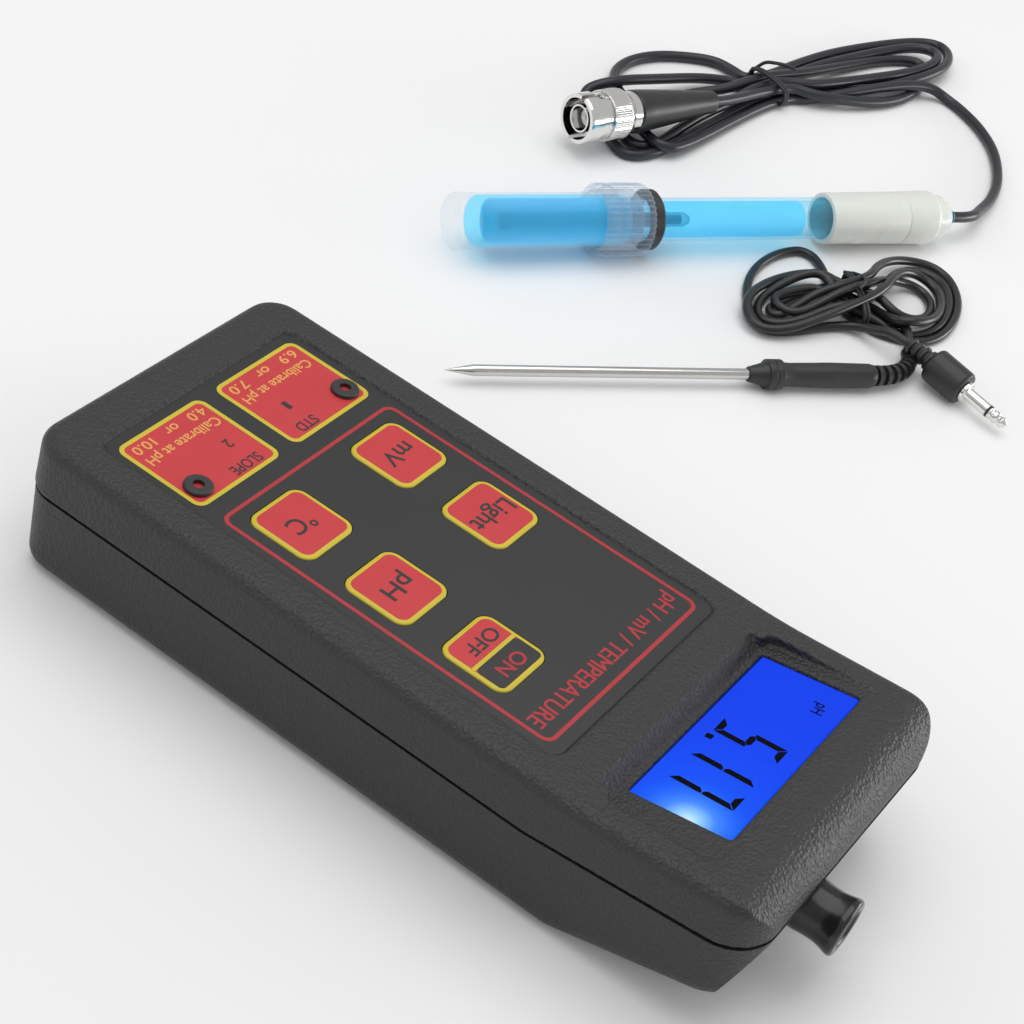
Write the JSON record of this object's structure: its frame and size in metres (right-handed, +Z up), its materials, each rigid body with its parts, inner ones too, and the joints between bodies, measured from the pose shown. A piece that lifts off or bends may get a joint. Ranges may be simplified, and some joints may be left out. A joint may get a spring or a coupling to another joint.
{
  "type": "ph meter",
  "caption": "Handheld pH meter with sloping backlit display and keypad, its pH electrode in a storage bottle and its needle temperature probe, each on a tied cord.",
  "frame": {"origin": "middle of the meter's flat underside", "axes": "+Z up through the keypad, +Y toward the display end with the sockets, +X to the user's right"},
  "size_m": [0.4088, 0.2191, 0.0376],
  "materials": {
    "case_plastic": "fine spark-eroded grain",
    "label_film": "satin film",
    "key_red": "satin printed red",
    "window_clear": "clear polished",
    "display_blue": "blue backlit",
    "led_white": "clear",
    "board_green": "solder mask",
    "black_component": "moulded",
    "brass_screw": "bright",
    "soft_black_rubber": "glossy soft vinyl",
    "nickel": "nickel plate",
    "white_insulator": "waxy",
    "battery_wrap": "satin",
    "lead_red": "satin",
    "steel_screw": "zinc plate",
    "cyan_gel_tube": "clear blue",
    "thin_glass": "polished",
    "silver_wire": "matt",
    "white_cap_plastic": "satin",
    "clear_plastic": "clear moulded",
    "cord_black": "satin",
    "probe_steel": "polished"
  },
  "bodies": {
    "meter": {"top_shell": "case_plastic", "bottom_shell": "case_plastic", "keypad_label": "label_film", "lcd_window": "window_clear", "lcd_glass": "display_blue", "lcd_backlight": "display_blue", "backlight_led": "led_white", "display_board": "board_green", "main_board": "board_green", "switch_bases": "black_component", "display_driver": "black_component", "input_amplifier": "black_component", "capacitors": "nickel", "trimmer_bodies": "black_component", "trimmer_grommets": "soft_black_rubber", "bnc_socket": "nickel", "bnc_insulator": "white_insulator", "bnc_contact": "brass_screw", "bnc_nut": "nickel", "temperature_jack": "black_component", "temperature_jack_nut": "nickel", "battery": "battery_wrap", "battery_terminals": "nickel", "battery_snap": "black_component", "battery_leads": "lead_red", "case_screws": "steel_screw", "board_screws": "steel_screw"},
    "battery_door": {"battery_door": "case_plastic"},
    "on_off_key": {"key_on_off": "key_red"},
    "light_key": {"key_light": "key_red"},
    "ph_key": {"key_ph": "key_red"},
    "millivolt_key": {"key_millivolt": "key_red"},
    "temperature_key": {"key_temperature": "key_red"},
    "first_trimmer": {"trimmer_screw_first": "brass_screw"},
    "second_trimmer": {"trimmer_screw_second": "brass_screw"},
    "dust_cap": {"bnc_dust_cap": "soft_black_rubber"},
    "electrode": {"electrode_tube": "cyan_gel_tube", "electrode_stem": "thin_glass", "electrode_bulb": "thin_glass", "electrode_wire": "silver_wire", "electrode_cap": "white_cap_plastic", "electrode_gland": "white_cap_plastic", "electrode_cord": "cord_black", "electrode_cord_hank": "cord_black", "electrode_cord_tie": "cord_black", "bnc_plug_core": "nickel", "bnc_plug_contact": "nickel", "bnc_plug_boot": "cord_black"},
    "bottle": {"storage_bottle": "clear_plastic", "bottle_seal": "soft_black_rubber"},
    "bottle_ring": {"bottle_nut": "clear_plastic"},
    "plug_sleeve": {"bnc_plug_sleeve": "nickel"},
    "probe": {"probe_needle": "probe_steel", "probe_handle": "cord_black", "probe_strain_relief": "cord_black", "probe_cord_hank": "cord_black", "probe_cord_tie": "cord_black", "probe_plug_boot": "cord_black", "probe_plug_shaft": "nickel", "probe_plug_ring": "cord_black"}
  },
  "joints": [
    {"name": "on_off_press", "type": "slide", "parent": "meter", "child": "on_off_key", "axis": [0, 0, -1], "range_m": [0, 0.0005], "stiffness_N_per_m": 3000, "springref_m": -0.0004},
    {"name": "light_press", "type": "slide", "parent": "meter", "child": "light_key", "axis": [0, 0, -1], "range_m": [0, 0.0005], "stiffness_N_per_m": 3000, "springref_m": -0.0004},
    {"name": "ph_press", "type": "slide", "parent": "meter", "child": "ph_key", "axis": [0, 0, -1], "range_m": [0, 0.0005], "stiffness_N_per_m": 3000, "springref_m": -0.0004},
    {"name": "millivolt_press", "type": "slide", "parent": "meter", "child": "millivolt_key", "axis": [0, 0, -1], "range_m": [0, 0.0005], "stiffness_N_per_m": 3000, "springref_m": -0.0004},
    {"name": "temperature_press", "type": "slide", "parent": "meter", "child": "temperature_key", "axis": [0, 0, -1], "range_m": [0, 0.0005], "stiffness_N_per_m": 3000, "springref_m": -0.0004},
    {"name": "first_trim_turn", "type": "hinge", "parent": "meter", "child": "first_trimmer", "pos_m": [-0.02485, -0.05675, 0.03], "axis": [0, 0, 1], "range_deg": [-120, 120]},
    {"name": "second_trim_turn", "type": "hinge", "parent": "meter", "child": "second_trimmer", "pos_m": [0.02485, -0.05675, 0.03], "axis": [0, 0, 1], "range_deg": [-120, 120]},
    {"name": "dust_cap_pull", "type": "slide", "parent": "meter", "child": "dust_cap", "axis": [0, 1, 0], "range_m": [0, 0.025]},
    {"name": "battery_door_slide", "type": "slide", "parent": "meter", "child": "battery_door", "axis": [0, -1, 0], "range_m": [0, 0.07]},
    {"name": "electrode_lift", "type": "slide", "parent": "meter", "child": "electrode", "axis": [0, 0, 1], "range_m": [0, 0.15]},
    {"name": "bottle_pull", "type": "slide", "parent": "electrode", "child": "bottle", "axis": [0.8379, -0.5454, 0.0217], "range_m": [0, 0.055]},
    {"name": "bottle_nut_turn", "type": "hinge", "parent": "bottle", "child": "bottle_ring", "pos_m": [-0.1715, -0.0694, 0.01], "axis": [-0.8379, 0.5454, -0.0217], "range_deg": [0, 720]},
    {"name": "plug_sleeve_turn", "type": "hinge", "parent": "electrode", "child": "plug_sleeve", "pos_m": [-0.2031, -0.1036, 0.0114], "axis": [-0.9362, 0.3492, -0.04], "continuous": true},
    {"name": "probe_lift", "type": "slide", "parent": "meter", "child": "probe", "axis": [0, 0, 1], "range_m": [0, 0.15]}
  ]
}
